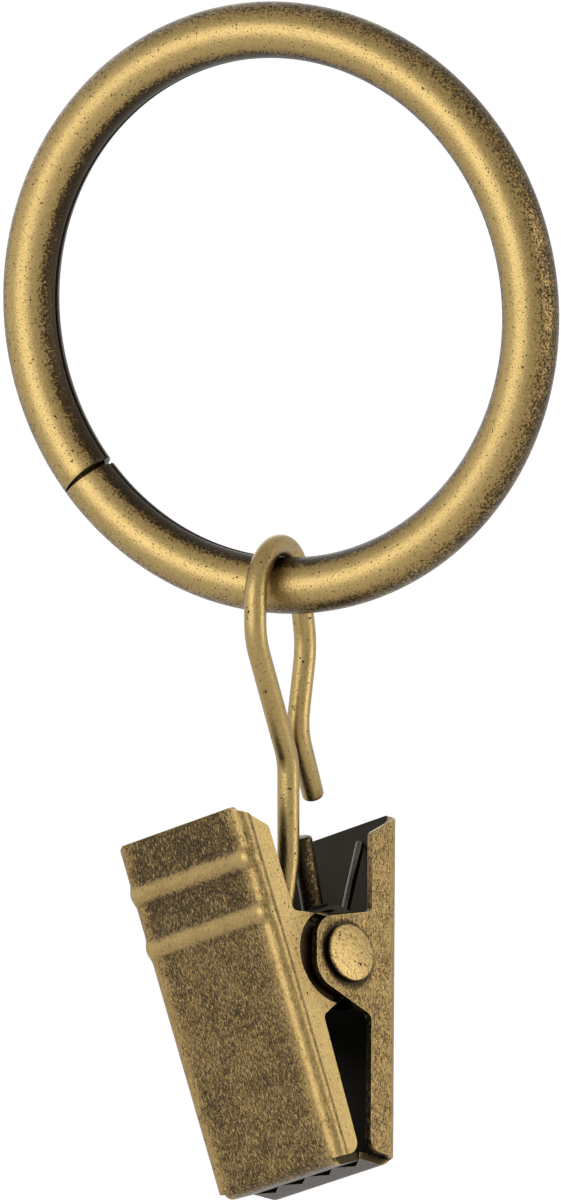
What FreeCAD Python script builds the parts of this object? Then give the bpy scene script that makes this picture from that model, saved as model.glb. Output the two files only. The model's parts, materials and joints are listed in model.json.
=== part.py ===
import FreeCAD, Part
import math
import os
import re
import Sketcher

# Curtain ring with a wire hook and a spring clip, in millimetres and degrees.
# The origin is the ring's centre, Y runs along the rod and Z is up.
# The clip hangs turned and leaning on the hook's eye, with its front jaw on the -Y side.

SIZES = {
    # Ring: a strip rolled into a tube, with its seam on the inside and its two ends butted
    "ring_inner_diameter": 38.0,
    "tube_diameter": 4.32,
    "tube_wall": 0.5,
    "seam_width": 0.2,
    "butt_angle": 220.0,
    "butt_gap_outside": 0.06,
    "butt_gap_inside": 0.8,
    # Hook: one bent wire, its bow over the ring and its eye round the clip's pin
    "wire_diameter": 1.7,
    "bow_clearance": 0.12,
    "bow_side_gap": 1.35,
    "bow_shift": 0.3,
    "bow_flat": 0.3,
    "bow_back_inset": 0.9,
    "bow_back_bend": 3.6,
    "leg_shift": 1.6,
    "shoulder_drop": 3.75,
    "shoulder_bend": 5.0,
    "knee_drop": 13.6,
    "knee_bend": 4.0,
    "back_shoulder_drop": 5.0,
    "back_shoulder_bend": 6.0,
    "neck_shift": 3.08,
    "neck_drop": 11.35,
    "neck_bend": 4.0,
    "tip_shift": 5.95,
    "tip_drop": 16.85,
    "eye_turn_angle": 20.0,
    "eye_shift": 1.15,
    "eye_drop": 29.54,
    "eye_play": 0.5,
    "eye_flat": 0.1,
    "eye_front_angle": 8.3,
    "eye_rear_angle": 10.3,
    "eye_end_rise": 9.1,
    "eye_front_bend": 8.0,
    # How the clip hangs on the eye
    "clip_turn_angle": 19.7,
    "clip_lean_angle": 18.6,
    "clip_pitch_angle": -6.7,
    "pin_sag": 0.28,
    "eye_along_pin": 1.56,
    # Both jaws: pressed sheet
    "clip_width": 14.35,
    "sheet": 0.6,
    "fold_radius": 1.0,
    "fold_lap": 0.2,
    "tail_slant": 2.05,
    "flange_corner": 1.0,
    "flange_lift": 0.6,
    "ear_gap": 0.1,
    "ear_corner": 1.9,
    "flange_round": 0.5,
    "mouth_shift": 0.375,
    "mouth_gap": 0.2,
    "tooth_depth": 1.0,
    "tooth_count": 4,
    # Front jaw, in its own frame with the pin at the origin
    "front_tilt_angle": 11.3,
    "front_face": 6.92,
    "front_tail": 12.95,
    "front_tip": 15.4,
    "front_flange": 2.8,
    "front_flange_low": 2.45,
    "front_ear_top": 4.2,
    "front_ear_top_end": 2.2,
    "front_ear_foot": 4.1,
    "front_ear_foot_end": 1.7,
    "front_ear_reach": 2.9,
    "joggle_shift": 0.5,
    "joggle_radius": 4.42,
    "joggle_wall": 0.6,
    "joggle_round": 4.0,
    "rib_first": 4.0,
    "rib_spacing": 4.3,
    "rib_count": 2,
    "rib_width": 1.6,
    "rib_top": 0.8,
    "rib_height": 0.33,
    "rib_round": 0.2,
    "groove_width": 1.0,
    "groove_top": 0.5,
    # Rear jaw, in its own frame with the pin at the origin
    "rear_tilt_angle": 11.0,
    "rear_face": 5.29,
    "rear_tail": 12.4,
    "rear_tip": 15.7,
    "rear_flange": 2.83,
    "rear_flange_low": 2.83,
    "rear_ear_top": 3.93,
    "rear_ear_top_end": 2.25,
    "rear_ear_foot": 4.4,
    "rear_ear_foot_end": 2.45,
    "rear_ear_reach": 3.1,
    # Pivot pin: a rivet through all four ears
    "pin_diameter": 2.0,
    "pin_clearance": 0.05,
    "rivet_clearance": 0.02,
    "head_diameter": 4.5,
    "head_height": 0.5,
    "head_round": 0.2,
    # Torsion spring on the pin
    "spring_wire": 0.7,
    "spring_play": 0.12,
    "spring_gap": 0.1,
    "spring_length": 1.78,
    "spring_full_turns": 2,
    "spring_front_angle": 26.7,
    "spring_rear_angle": 14.5,
    "spring_contact_gap": 0.05,
}
MARGIN = 1.0  # how far a cut runs past what it cuts

doc = FreeCAD.newDocument("CurtainRing")
sheet = doc.addObject("Spreadsheet::Sheet", "Sizes")
for row, (name, number) in enumerate(SIZES.items(), start=1):
    sheet.set(f"A{row}", name)
    sheet.set(f"B{row}", str(number))
    sheet.setAlias(f"B{row}", name)
doc.recompute()


def bound(formula):
    """A formula in the sheet's names, written with references to the sheet."""
    return re.sub(r"\b([a-z][a-z_]*)\b(?!\()", r"Sizes.\1", formula)


def value(formula):
    """What a formula in the sheet's names comes to now."""
    return float(sheet.evalExpression(bound(formula)))


def new_body(label):
    body = doc.addObject("PartDesign::Body", label)
    body.Label = label
    return body


def origin_feature(body, role):
    return next(f for f in body.Origin.OriginFeatures if f.Role == role)


def new_sketch(body, name, plane, turn_axis=(0, 0, 1), turn=None, **shift):
    """A sketch on one of the body's own planes, shifted along and turned in that plane's frame by formulas."""
    sketch = body.newObject("Sketcher::SketchObject", name)
    sketch.AttachmentSupport = [(origin_feature(body, plane), "")]
    sketch.MapMode = "FlatFace"
    rotation = FreeCAD.Rotation(FreeCAD.Vector(*turn_axis), 1.0)
    sketch.AttachmentOffset = FreeCAD.Placement(FreeCAD.Vector(), rotation if turn else FreeCAD.Rotation())
    if turn:
        sketch.setExpression("AttachmentOffset.Rotation.Angle", bound(turn))
    for axis, formula in shift.items():
        sketch.setExpression(f"AttachmentOffset.Base.{axis}", bound(formula))
    return sketch


def draw_outline(sketch, corners, closed=True):
    """Straight runs from corner to corner. A corner is two formulas, and a third where it is rounded."""
    spots = [FreeCAD.Vector(value(c[0]), value(c[1]), 0) for c in corners]
    count = len(corners)
    marks = []
    rules = []
    formulas = {}

    def dimension(kind, formula, *where):
        formulas[len(rules)] = formula
        rules.append(Sketcher.Constraint(kind, *where, value(formula)))

    for spot, corner in zip(spots, corners):
        mark = sketch.addGeometry(Part.Point(spot), True)
        marks.append(mark)
        dimension("DistanceX", corner[0], -1, 1, mark, 1)
        dimension("DistanceY", corner[1], -1, 1, mark, 1)

    leaving = list(spots)
    arriving = list(spots)
    middles = [None] * count
    for i, corner in enumerate(corners):
        if len(corner) > 2:
            back = (spots[i - 1] - spots[i]).normalize()
            ahead = (spots[(i + 1) % count] - spots[i]).normalize()
            radius = value(corner[2])
            half = back.getAngle(ahead) / 2
            arriving[i] = spots[i] + back * (radius / math.tan(half))
            leaving[i] = spots[i] + ahead * (radius / math.tan(half))
            inward = (back + ahead).normalize()
            middles[i] = spots[i] + inward * (radius / math.sin(half) - radius)

    runs = []
    for i in range(count if closed else count - 1):
        after = (i + 1) % count
        run = sketch.addGeometry(Part.LineSegment(leaving[i], arriving[after]), False)
        runs.append(run)
        for corner, end in ((i, 1), (after, 2)):
            if middles[corner] is None:
                rules.append(Sketcher.Constraint("Coincident", run, end, marks[corner], 1))
            else:
                rules.append(Sketcher.Constraint("PointOnObject", marks[corner], 1, run))

    for i, corner in enumerate(corners):
        if middles[i] is None:
            continue
        arc = sketch.addGeometry(Part.Arc(arriving[i], middles[i], leaving[i]), False)
        forward = sketch.getPoint(arc, 1).distanceToPoint(arriving[i]) < 1e-6
        first, last = (1, 2) if forward else (2, 1)
        rules.append(Sketcher.Constraint("Tangent", runs[i - 1], 2, arc, first))
        rules.append(Sketcher.Constraint("Tangent", arc, last, runs[i], 1))
        dimension("Radius", corner[2], arc)

    sketch.addConstraint(rules)
    for index, formula in formulas.items():
        sketch.setExpression(f"Constraints[{index}]", bound(formula))
    return sketch


def draw_circle(sketch, x, y, diameter):
    """A circle whose centre and diameter are formulas."""
    centre = FreeCAD.Vector(value(x), value(y), 0)
    circle = sketch.addGeometry(Part.Circle(centre, FreeCAD.Vector(0, 0, 1), value(diameter) / 2), False)
    sketch.addConstraint(
        [
            Sketcher.Constraint("DistanceX", -1, 1, circle, 3, centre.x),
            Sketcher.Constraint("DistanceY", -1, 1, circle, 3, centre.y),
            Sketcher.Constraint("Diameter", circle, value(diameter)),
        ]
    )
    for index, formula in enumerate((x, y, diameter)):
        sketch.setExpression(f"Constraints[{index}]", bound(formula))
    return sketch


def add_feature(body, kind, name, sketch, **settings):
    """A feature on a sketch, its lengths and angles given as formulas and its choices as plain settings."""
    feature = body.newObject(f"PartDesign::{kind}", name)
    feature.Profile = sketch
    for setting, given in settings.items():
        if setting in ("Length", "Length2", "Height", "Turns"):
            feature.setExpression(setting, bound(given))
        else:
            setattr(feature, setting, given)
    doc.recompute()
    return feature


def cut_feature(body, name, sketch, **settings):
    """A pocket that has to take something away."""
    before = body.Shape.Volume
    feature = add_feature(body, "Pocket", name, sketch, **settings)
    if body.Shape.Volume >= before:
        raise RuntimeError(f"{name} cuts nothing")
    return feature


# Ring
RING_MIDDLE = "(ring_inner_diameter + tube_diameter) / 2"
TUBE_RADIUS = "tube_diameter / 2"

ring = new_body("ring")
section = new_sketch(ring, "tube_section", "XY_Plane")
outer = value(TUBE_RADIUS)
inner = outer - value("tube_wall")
middle = FreeCAD.Vector(value(RING_MIDDLE), 0, 0)
half_seam = value("seam_width") / 2
arcs = []
for radius in (outer, inner):
    angle = math.pi - math.asin(half_seam / radius)
    circle = Part.Circle(middle, FreeCAD.Vector(0, 0, 1), radius)
    arcs.append(section.addGeometry(Part.ArcOfCircle(circle, -angle, angle), False))
outer_arc, inner_arc = arcs
for side in (1, 2):
    lip = Part.LineSegment(section.getPoint(outer_arc, side), section.getPoint(inner_arc, side))
    line = section.addGeometry(lip, False)
    section.addConstraint(
        [
            Sketcher.Constraint("Coincident", line, 1, outer_arc, side),
            Sketcher.Constraint("Coincident", line, 2, inner_arc, side),
            Sketcher.Constraint("Horizontal", line),
        ]
    )
section_rules = [
    (Sketcher.Constraint("Coincident", outer_arc, 3, inner_arc, 3), None),
    (Sketcher.Constraint("PointOnObject", outer_arc, 3, -1), None),
    (Sketcher.Constraint("DistanceX", -1, 1, outer_arc, 3, middle.x), RING_MIDDLE),
    (Sketcher.Constraint("Radius", outer_arc, outer), TUBE_RADIUS),
    (Sketcher.Constraint("Radius", inner_arc, inner), f"{TUBE_RADIUS} - tube_wall"),
    (Sketcher.Constraint("DistanceY", -1, 1, outer_arc, 2, half_seam), "seam_width / 2"),
    (Sketcher.Constraint("DistanceY", -1, 1, outer_arc, 1, -half_seam), "-seam_width / 2"),
]
for rule, formula in section_rules:
    index = section.addConstraint(rule)
    if formula:
        section.setExpression(f"Constraints[{index}]", bound(formula))
add_feature(ring, "Revolution", "rolled_tube", section, ReferenceAxis=(section, ["V_Axis"]), Angle=360.0)

butt = new_sketch(ring, "butt_joint", "XZ_Plane", turn="butt_angle")
gap_slope = "(butt_gap_inside - butt_gap_outside) / (2 * tube_diameter)"
ring_outside = "ring_inner_diameter / 2 + tube_diameter"
cut_start = f"ring_inner_diameter / 2 - {MARGIN}"
cut_end = f"{ring_outside} + {MARGIN}"
half_at_start = f"(butt_gap_inside / 2 + {MARGIN} * {gap_slope})"
half_at_end = "butt_gap_outside / 2"
draw_outline(
    butt,
    [
        (cut_start, half_at_start),
        (ring_outside, half_at_end),
        (cut_end, half_at_end),
        (cut_end, f"-{half_at_end}"),
        (ring_outside, f"-{half_at_end}"),
        (cut_start, f"-{half_at_start}"),
    ],
)
cut_feature(ring, "open_butt", butt, Type="ThroughAll", SideType="Symmetric")

# Hook, in a frame whose origin is the middle of the tube at the ring's lowest point
WIRE_RADIUS = "wire_diameter / 2"
BOW_HALF = f"({TUBE_RADIUS} + {WIRE_RADIUS} + bow_side_gap)"
BOW_TOP = f"({TUBE_RADIUS} + {WIRE_RADIUS} + bow_clearance)"
BOW_BEND = f"({BOW_HALF} - bow_flat / 2)"
EYE_BEND = f"(pin_diameter / 2 + eye_play + {WIRE_RADIUS})"
EYE_START_DROP = f"(eye_drop - ({EYE_BEND} / cos(eye_front_angle) - eye_shift) / tan(eye_front_angle))"
LEG_MIDDLE_DROP = f"((knee_drop + {EYE_START_DROP}) / 2)"


def strand(lean, rise):
    """How far a leaning side of the eye is from the eye's middle, at a height above it."""
    return f"({EYE_BEND} / cos({lean}) - ({rise}) * tan({lean}))"


hook = new_body("hook")
hook.setExpression("Placement.Base.z", bound(f"-{RING_MIDDLE}"))
wire = draw_circle(
    new_sketch(hook, "wire_section", "XY_Plane", z=f"-{LEG_MIDDLE_DROP}"),
    "0",
    "leg_shift",
    "wire_diameter",
)
bow_path = draw_outline(
    new_sketch(hook, "bow_path", "YZ_Plane"),
    [
        ("leg_shift", f"-{LEG_MIDDLE_DROP}"),
        ("leg_shift", "-knee_drop", "knee_bend"),
        (f"bow_shift - {BOW_HALF}", "-shoulder_drop", "shoulder_bend"),
        (f"bow_shift - {BOW_HALF}", BOW_TOP, BOW_BEND),
        (f"bow_shift + {BOW_HALF} - bow_back_inset", BOW_TOP, "bow_back_bend"),
        (f"bow_shift + {BOW_HALF}", "-back_shoulder_drop", "back_shoulder_bend"),
        ("neck_shift", "-neck_drop", "neck_bend"),
        ("tip_shift", "-tip_drop"),
    ],
    closed=False,
)
eye_path = draw_outline(
    new_sketch(hook, "eye_path", "YZ_Plane", turn_axis=(0, -1, 0), turn="eye_turn_angle", x="leg_shift"),
    [
        ("0", f"-{LEG_MIDDLE_DROP}"),
        (
            "0",
            f"-{EYE_START_DROP}",
            "eye_front_bend",
        ),
        (f"eye_shift - {strand('eye_front_angle', f'-{EYE_BEND}')} - eye_flat", f"-eye_drop - {EYE_BEND}", EYE_BEND),
        (f"eye_shift + {strand('eye_rear_angle', f'-{EYE_BEND}')} + eye_flat", f"-eye_drop - {EYE_BEND}", EYE_BEND),
        (f"eye_shift + {strand('eye_rear_angle', 'eye_end_rise')} + eye_flat", "-eye_drop + eye_end_rise"),
    ],
    closed=False,
)
doc.recompute()
add_feature(hook, "AdditivePipe", "bow", wire, Spine=(bow_path, []))
add_feature(hook, "AdditivePipe", "eye", wire, Spine=(eye_path, []))

# The clip's own frame: X along the pin, Y towards the rear jaw, Z towards the tails
lean = FreeCAD.Rotation(FreeCAD.Vector(0, 1, 0), -value("clip_lean_angle"))
turn = FreeCAD.Rotation(FreeCAD.Vector(0, 0, 1), -value("clip_turn_angle"))
pitch = FreeCAD.Rotation(FreeCAD.Vector(1, 0, 0), value("clip_pitch_angle"))
clip_rotation = turn * lean * pitch
pin_at_eye = FreeCAD.Vector(
    value("eye_shift * sin(eye_turn_angle)"),
    value("leg_shift + eye_shift * cos(eye_turn_angle)"),
    value(f"-{RING_MIDDLE} - eye_drop - pin_sag"),
)
clip_middle = pin_at_eye - clip_rotation.multVec(FreeCAD.Vector(value("eye_along_pin"), 0, 0))
clip_frame = FreeCAD.Placement(clip_middle, clip_rotation)

HALF_WIDTH = "clip_width / 2"
FOLD_INSIDE = "(fold_radius - sheet)"
LIP_WIDTH = "(clip_width - 2 * fold_radius)"
EAR_OUTSIDE = "(clip_width - 2 * sheet - 2 * ear_gap)"
EAR_INSIDE = f"({EAR_OUTSIDE} - 2 * sheet)"
MOUTH_DROP = "((front_tip + rear_tip) / 2)"


def place_jaw(body, about_z, tilt):
    half_turn = FreeCAD.Rotation(FreeCAD.Vector(0, 0, 1), about_z)
    tilted = FreeCAD.Rotation(FreeCAD.Vector(1, 0, 0), value(tilt))
    body.Placement = clip_frame * FreeCAD.Placement(FreeCAD.Vector(), half_turn * tilted)


def tongue(jaw, root):
    """The ear's corners from its top to its foot, round the far side of the pin."""
    return [
        (root, f"{jaw}_ear_top", "flange_round"),
        (f"{jaw}_ear_reach", f"{jaw}_ear_top_end", "ear_corner"),
        (f"{jaw}_ear_reach", f"-{jaw}_ear_foot_end", "ear_corner"),
        (root, f"-{jaw}_ear_foot", "flange_round"),
    ]


def channel(body, jaw):
    """The folded sheet: a plate with a flange along each side, as deep as its ears reach."""
    face = f"-{jaw}_face"
    depth = f"{jaw}_ear_reach + {MARGIN}"
    section = new_sketch(body, f"{jaw}_section", "XY_Plane")
    draw_outline(
        section,
        [
            (f"-{HALF_WIDTH}", depth),
            (f"-{HALF_WIDTH}", face, "fold_radius"),
            (HALF_WIDTH, face, "fold_radius"),
            (HALF_WIDTH, depth),
            (f"{HALF_WIDTH} - sheet", depth),
            (f"{HALF_WIDTH} - sheet", f"{face} + sheet", FOLD_INSIDE),
            (f"sheet - {HALF_WIDTH}", f"{face} + sheet", FOLD_INSIDE),
            (f"sheet - {HALF_WIDTH}", depth),
        ],
    )
    add_feature(
        body,
        "Pad",
        f"{jaw}_channel",
        section,
        SideType="Two sides",
        Length=f"{jaw}_tail",
        Length2=f"{jaw}_tip - fold_radius",
    )


def trim_flanges(body, jaw, edge):
    """Cuts the flanges to their side outline, which runs through the corners in edge between its two ends."""
    face = f"-{jaw}_face"
    free = f"{face} + {jaw}_flange"
    beyond = f"{jaw}_ear_reach + {2 * MARGIN}"
    side = new_sketch(body, f"{jaw}_side", "YZ_Plane")
    draw_outline(
        side,
        [
            (face, f"{jaw}_tail"),
            (free, f"{jaw}_tail - tail_slant", "flange_round"),
            *edge,
            (f"{face} + {jaw}_flange_low", f"-{jaw}_tip + flange_lift", "flange_corner"),
            (f"{face} + sheet + {FOLD_INSIDE}", f"-{jaw}_tip + flange_lift"),
            (f"{face} + sheet + {FOLD_INSIDE}", f"-{jaw}_tip - {MARGIN}"),
            (beyond, f"-{jaw}_tip - {MARGIN}"),
            (beyond, f"{jaw}_tail + {MARGIN}"),
            (face, f"{jaw}_tail + {MARGIN}"),
        ],
    )
    cut_feature(body, f"{jaw}_flanges", side, Type="ThroughAll", SideType="Symmetric")


def toothed_lip(body, jaw, edge, first_is_tip):
    """The plate's lower end folded inwards, with a row of teeth that mesh with the other jaw's."""
    face = f"-{jaw}_face"
    low = f"-{jaw}_tip"
    folded = "fold_radius + fold_lap"
    fold = new_sketch(body, f"{jaw}_lip_fold", "YZ_Plane")
    draw_outline(
        fold,
        [
            (face, f"{low} + {folded}"),
            (face, low, "fold_radius"),
            (f"{face} + {folded}", low),
            (f"{face} + {folded}", f"{low} + sheet"),
            (f"{face} + sheet", f"{low} + sheet", FOLD_INSIDE),
            (f"{face} + sheet", f"{low} + {folded}"),
        ],
    )
    add_feature(body, "Pad", f"{jaw}_lip_fold_pad", fold, SideType="Symmetric", Length=LIP_WIDTH)
    steps = 2 * int(value("tooth_count"))
    corners = [(f"-{LIP_WIDTH} / 2", f"{face} + fold_radius")]
    for step in range(steps + 1):
        out = (step % 2 == 0) == first_is_tip
        side = "+" if out else "-"
        across = f"{LIP_WIDTH} * ({step} / (2 * tooth_count) - 0.5)"
        corners.append((across, f"{edge} {side} tooth_depth / 2 - mouth_gap / 2"))
    corners.append((f"{LIP_WIDTH} / 2", f"{face} + fold_radius"))
    lip = draw_outline(new_sketch(body, f"{jaw}_teeth", "XY_Plane", z=low), corners)
    add_feature(body, "Pad", f"{jaw}_lip", lip, Length="sheet")


def pin_holes(body, jaw, clearance):
    hole = draw_circle(new_sketch(body, f"{jaw}_hole", "YZ_Plane"), "0", "0", f"pin_diameter + 2 * {clearance}")
    cut_feature(body, f"{jaw}_holes", hole, Type="ThroughAll", SideType="Symmetric")


# Front jaw: its ears are pressed in by a sheet's thickness round the pin, so that they turn between the rear jaw's
front_jaw = new_body("front_jaw")
channel(front_jaw, "front")
front_ear = tongue("front", "-front_face + front_flange")
trim_flanges(front_jaw, "front", front_ear)
joggle_back = "-joggle_shift - joggle_radius - joggle_wall"
pressed_ear = [
    (joggle_back, "front_ear_top", "joggle_round"),
    ("0", "front_ear_top"),
    *front_ear[1:3],
    ("0", "-front_ear_foot"),
    (joggle_back, "-front_ear_foot", "joggle_round"),
]
step_wall = draw_outline(new_sketch(front_jaw, "front_step", "YZ_Plane"), pressed_ear)
add_feature(front_jaw, "Pad", "front_step_wall", step_wall, SideType="Symmetric", Length="clip_width - sheet")
joggle = draw_circle(new_sketch(front_jaw, "joggle", "YZ_Plane"), "-joggle_shift", "0", "2 * joggle_radius")
cut_feature(front_jaw, "joggle_cut", joggle, Type="ThroughAll", SideType="Symmetric")
ear = draw_outline(new_sketch(front_jaw, "front_ear", "YZ_Plane"), pressed_ear)
add_feature(front_jaw, "Pad", "front_ears", ear, SideType="Symmetric", Length=EAR_OUTSIDE)
inner_face = "-front_face + sheet"
between = draw_outline(
    new_sketch(front_jaw, "between_ears", "YZ_Plane"),
    [
        (inner_face, f"front_ear_top + {MARGIN}"),
        (f"front_ear_reach + {MARGIN}", f"front_ear_top + {MARGIN}"),
        (f"front_ear_reach + {MARGIN}", f"-front_ear_foot - {MARGIN}"),
        (inner_face, f"-front_ear_foot - {MARGIN}"),
    ],
)
cut_feature(front_jaw, "between_ears_cut", between, SideType="Symmetric", Length=EAR_INSIDE)
toothed_lip(
    front_jaw,
    "front",
    f"-mouth_shift * cos(front_tilt_angle) - {MOUTH_DROP} * sin(front_tilt_angle)",
    first_is_tip=False,
)
for number in range(int(value("rib_count"))):
    centre = f"(front_tail - rib_first - {number} * rib_spacing)"
    for name, base, top in (
        ("rib", "-front_face + sheet / 2", "-front_face - rib_height"),
        ("groove", "-front_face + sheet + rib_height", "-front_face + sheet - rib_height"),
    ):
        pressing = draw_outline(
            new_sketch(front_jaw, f"{name}_{number + 1}", "YZ_Plane"),
            [
                (base, f"{centre} + {name}_width / 2"),
                (top, f"{centre} + {name}_top / 2", "rib_round"),
                (top, f"{centre} - {name}_top / 2", "rib_round"),
                (base, f"{centre} - {name}_width / 2"),
            ],
        )
        if name == "rib":
            rib_length = "clip_width - fold_radius"
            add_feature(front_jaw, "Pad", f"rib_{number + 1}_pad", pressing, SideType="Symmetric", Length=rib_length)
        else:
            cut_feature(front_jaw, f"groove_{number + 1}_cut", pressing, SideType="Symmetric", Length=LIP_WIDTH)
pin_holes(front_jaw, "front", "pin_clearance")
place_jaw(front_jaw, 0, "front_tilt_angle")

# Rear jaw: plain, with its ears in line with its flanges
rear_jaw = new_body("rear_jaw")
channel(rear_jaw, "rear")
trim_flanges(rear_jaw, "rear", tongue("rear", "-rear_face + rear_flange"))
toothed_lip(
    rear_jaw,
    "rear",
    f"mouth_shift * cos(rear_tilt_angle) - {MOUTH_DROP} * sin(rear_tilt_angle)",
    first_is_tip=True,
)
pin_holes(rear_jaw, "rear", "rivet_clearance")
place_jaw(rear_jaw, 180, "rear_tilt_angle")

# Pivot pin
PIN_HALF = f"({HALF_WIDTH} + rivet_clearance)"
pivot_pin = new_body("pivot_pin")
rivet = draw_outline(
    new_sketch(pivot_pin, "rivet_section", "XY_Plane"),
    [
        (f"-{PIN_HALF} - head_height", "0"),
        (f"-{PIN_HALF} - head_height", "head_diameter / 2", "head_round"),
        (f"-{PIN_HALF}", "head_diameter / 2"),
        (f"-{PIN_HALF}", "pin_diameter / 2"),
        (PIN_HALF, "pin_diameter / 2"),
        (PIN_HALF, "head_diameter / 2"),
        (f"{PIN_HALF} + head_height", "head_diameter / 2", "head_round"),
        (f"{PIN_HALF} + head_height", "0"),
    ],
)
add_feature(pivot_pin, "Revolution", "rivet", rivet, ReferenceAxis=(rivet, ["H_Axis"]), Angle=360.0)
pivot_pin.Placement = clip_frame

# Torsion spring: its coil beside the eye, and one leg against the inside of each plate
COIL_RADIUS = "(pin_diameter / 2 + spring_play + spring_wire / 2)"
COIL_NEAR = f"({EAR_INSIDE} / 2 - spring_gap - spring_wire / 2)"
COIL_FAR = f"({COIL_NEAR} - spring_length)"
FRONT_LEG = "(front_tilt_angle + spring_front_angle)"
REAR_LEG = "(rear_tilt_angle + spring_rear_angle)"


def leg_length(jaw, spread):
    """From the coil to where the leg lies on the jaw's plate."""
    room = f"({jaw}_face - sheet - spring_wire / 2 - spring_contact_gap)"
    return f"({room} - {COIL_RADIUS} * cos({spread})) / sin({spread})"


torsion_spring = new_body("torsion_spring")
coil_section = draw_circle(
    new_sketch(torsion_spring, "coil_section", "XY_Plane", turn_axis=(-1, 0, 0), turn=REAR_LEG),
    COIL_FAR,
    COIL_RADIUS,
    "spring_wire",
)
add_feature(
    torsion_spring,
    "AdditiveHelix",
    "coil",
    coil_section,
    ReferenceAxis=(origin_feature(torsion_spring, "X_Axis"), [""]),
    Mode="height-turns-angle",
    LeftHanded=True,
    Height="spring_length",
    Turns=f"spring_full_turns + (180 - {FRONT_LEG} - {REAR_LEG}) / 360",
)
for jaw, along, angle, side, axis in (
    ("rear", COIL_FAR, REAR_LEG, "", (-1, 0, 0)),
    ("front", COIL_NEAR, FRONT_LEG, "-", (1, 0, 0)),
):
    leg = draw_circle(
        new_sketch(
            torsion_spring,
            f"{jaw}_leg",
            "XY_Plane",
            turn_axis=axis,
            turn=angle,
            x=along,
            y=f"{side}{COIL_RADIUS} * cos({angle})",
            z=f"-{COIL_RADIUS} * sin({angle})",
        ),
        "0",
        "0",
        "spring_wire",
    )
    add_feature(torsion_spring, "Pad", f"{jaw}_leg_pad", leg, Length=leg_length(jaw, f"spring_{jaw}_angle"))
torsion_spring.Placement = clip_frame

# Checks, then one file for each piece
doc.recompute()
for item in doc.Objects:
    if "Invalid" in item.State or "Error" in item.State:
        raise RuntimeError(f"{item.Name} failed: {item.State}")
os.makedirs("parts", exist_ok=True)
for body in (ring, hook, front_jaw, rear_jaw, pivot_pin, torsion_spring):
    shape = body.Shape
    if shape.isNull() or not shape.isValid() or len(shape.Solids) != 1:
        raise RuntimeError(f"{body.Label} is not one valid solid")
    shape.exportStep(f"parts/{body.Label}.step")
    print(body.Label, round(shape.Volume, 2), [round(x, 2) for x in (shape.BoundBox.ZMin, shape.BoundBox.ZMax)])
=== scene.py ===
import json
import math

import bmesh
import bpy
from mathutils import Matrix, Vector
from mathutils.geometry import intersect_line_sphere_2d


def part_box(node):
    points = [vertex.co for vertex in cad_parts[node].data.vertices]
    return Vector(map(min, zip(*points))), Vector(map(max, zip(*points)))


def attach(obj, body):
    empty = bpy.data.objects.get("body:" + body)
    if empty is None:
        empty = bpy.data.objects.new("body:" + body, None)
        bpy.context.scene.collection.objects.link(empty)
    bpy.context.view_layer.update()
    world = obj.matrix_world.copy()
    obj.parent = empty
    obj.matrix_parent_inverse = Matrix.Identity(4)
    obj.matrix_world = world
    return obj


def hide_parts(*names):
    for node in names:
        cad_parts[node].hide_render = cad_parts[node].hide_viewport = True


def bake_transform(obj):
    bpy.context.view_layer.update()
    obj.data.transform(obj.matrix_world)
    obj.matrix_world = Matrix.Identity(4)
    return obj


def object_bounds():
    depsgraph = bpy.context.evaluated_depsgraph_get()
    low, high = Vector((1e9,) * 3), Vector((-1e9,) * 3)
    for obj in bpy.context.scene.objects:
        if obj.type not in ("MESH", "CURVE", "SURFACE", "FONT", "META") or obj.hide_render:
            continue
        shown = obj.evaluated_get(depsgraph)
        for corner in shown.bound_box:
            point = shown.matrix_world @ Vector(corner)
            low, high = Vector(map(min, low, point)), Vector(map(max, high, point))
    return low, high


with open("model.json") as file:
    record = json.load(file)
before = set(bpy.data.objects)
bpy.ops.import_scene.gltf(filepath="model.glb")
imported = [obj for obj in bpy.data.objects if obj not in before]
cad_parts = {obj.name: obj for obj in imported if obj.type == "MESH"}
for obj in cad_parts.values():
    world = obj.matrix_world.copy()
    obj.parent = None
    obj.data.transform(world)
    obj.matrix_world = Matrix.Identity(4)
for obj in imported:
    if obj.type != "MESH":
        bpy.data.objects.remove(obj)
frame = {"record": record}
cad_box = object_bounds()

# Ring
# A brass strip rolled into a tube with its seam on the inside, then bent round until its two ends butt.
# The ends aren't welded, and they stand a little open on the inside of the ring.
MM = 0.001
ring_low, ring_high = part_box("ring")
ring_outside = (ring_high.z - ring_low.z) / 2
tube_radius = (ring_high.y - ring_low.y) / 2
ring_inside = ring_outside - 2 * tube_radius
tube_wall = 0.5 * MM
butt_angle = math.radians(220)
butt_gap_outside = 0.06 * MM
butt_gap_inside = 0.55 * MM
strip_edge = 0.05 * MM
tube_sides = 72
ring_steps = 220
WELD = 0.001 * MM


def make_piece(bm, name, *materials):
    """A smooth-shaded object from a finished mesh."""
    mesh = bpy.data.meshes.new(name)
    bm.to_mesh(mesh)
    bm.free()
    for material in materials:
        mesh.materials.append(material)
    mesh.shade_smooth()
    piece = bpy.data.objects.new(name, mesh)
    bpy.context.collection.objects.link(piece)
    return piece


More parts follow.
